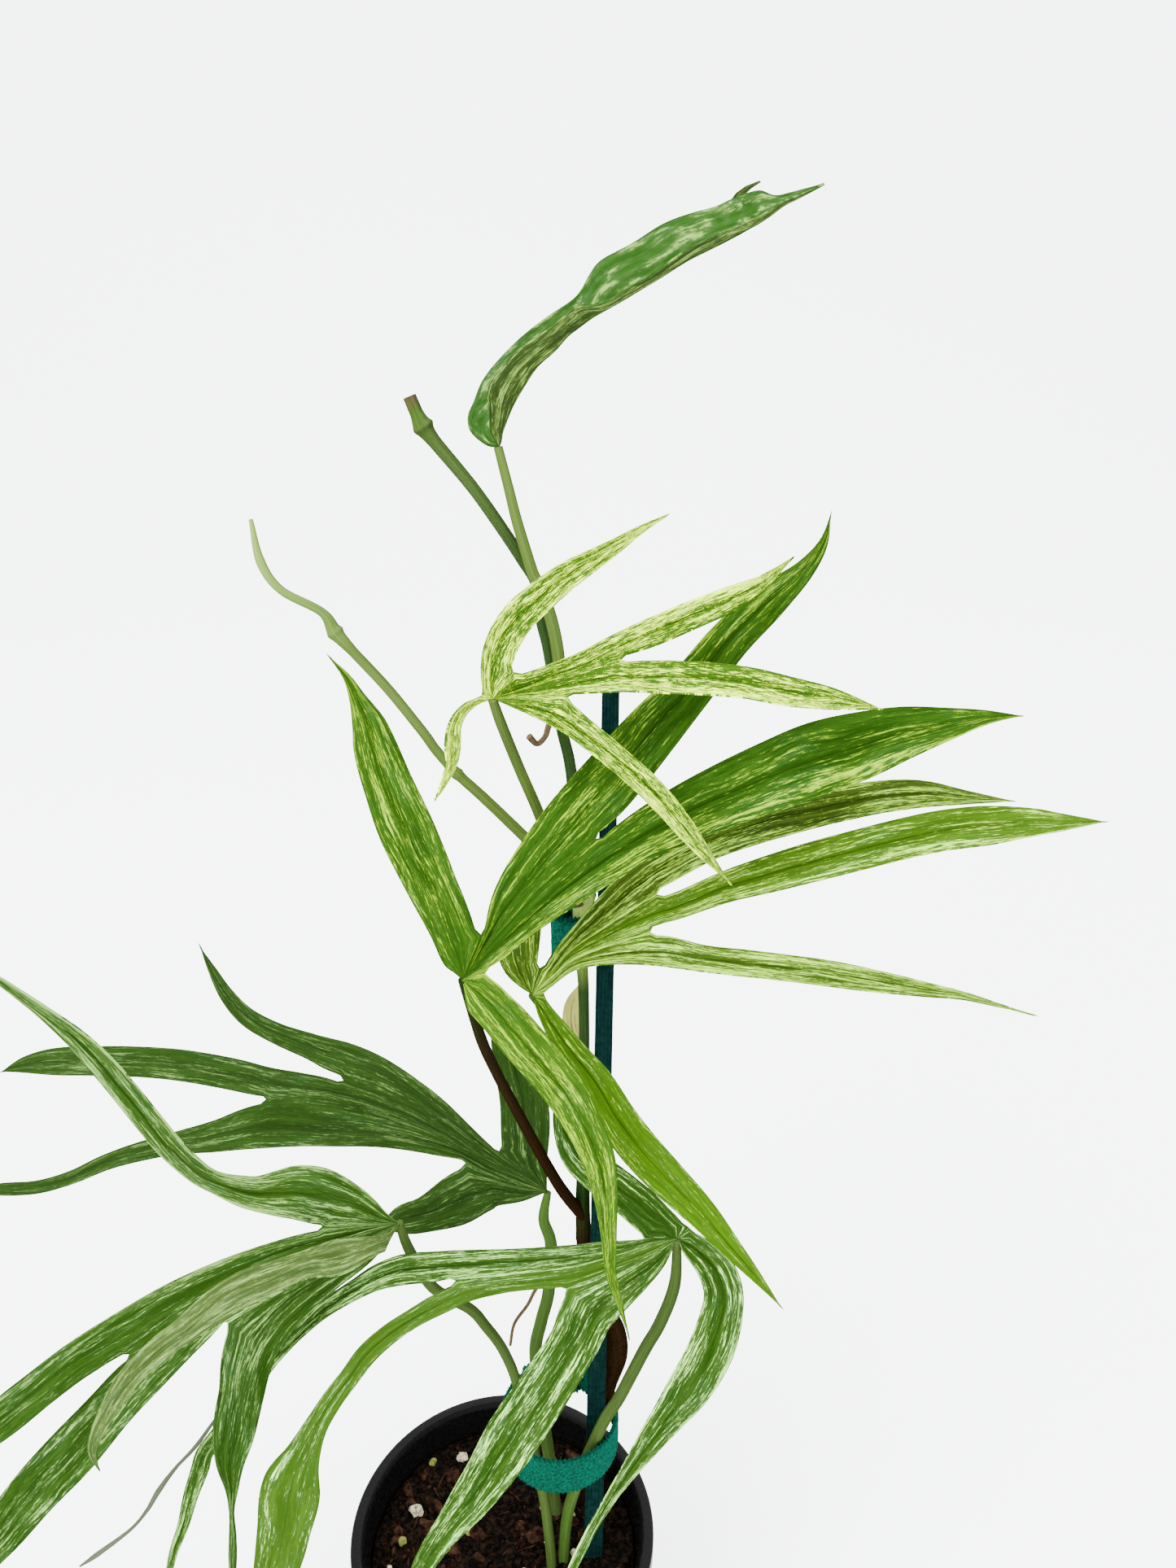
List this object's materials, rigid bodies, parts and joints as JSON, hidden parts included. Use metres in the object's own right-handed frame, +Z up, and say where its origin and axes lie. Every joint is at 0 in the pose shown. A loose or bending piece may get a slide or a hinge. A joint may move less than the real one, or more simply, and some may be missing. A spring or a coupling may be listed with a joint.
{
  "type": "potted climbing plant",
  "caption": "Climbing plant with long deeply cut leaves, tied to a stake in a round nursery pot with soil.",
  "frame": {"origin": "centre of the pot's flat base", "axes": "+Z up along the stake; -Y towards the front, from where the leaves show their upper faces; +X to the right seen from the front"},
  "size_m": [0.2712, 0.1073, 0.4394],
  "materials": {
    "leaf_green": "satin",
    "leaf_cream": "satin",
    "leaf_lime": "satin",
    "leaf_dark": "satin",
    "petiole_green": "satin",
    "vine_green": "satin",
    "vine_brown": "matte",
    "root_brown": "matte",
    "sheath_pale": "matte",
    "dry_grey": "matte",
    "tape_teal": "matte",
    "stake_teal": "satin",
    "pot_black": "satin",
    "soil_brown": "matte"
  },
  "bodies": {
    "root": {"pot": "pot_black", "soil": "soil_brown", "stake": "stake_teal", "tie_upper": "tape_teal", "tie_lower": "tape_teal", "vine_upper": "vine_green", "vine_lower": "vine_brown", "runner": "petiole_green", "aerial_root_upper": "root_brown", "aerial_root_middle": "root_brown", "aerial_root_lower": "root_brown", "old_sheath": "sheath_pale", "dry_strand": "dry_grey", "leaf_a_petiole": "petiole_green", "leaf_a_blade": "leaf_green", "leaf_b_petiole": "petiole_green", "leaf_b_blade": "leaf_cream", "leaf_c_petiole": "petiole_green", "leaf_c_blade": "leaf_green", "leaf_d_petiole": "petiole_green", "leaf_d_blade": "leaf_lime", "leaf_e_petiole": "petiole_green", "leaf_e_blade": "leaf_dark", "leaf_f_petiole": "petiole_green", "leaf_f_blade": "leaf_green", "leaf_g_petiole": "petiole_green", "leaf_g_blade": "leaf_green"}
  },
  "joints": []
}
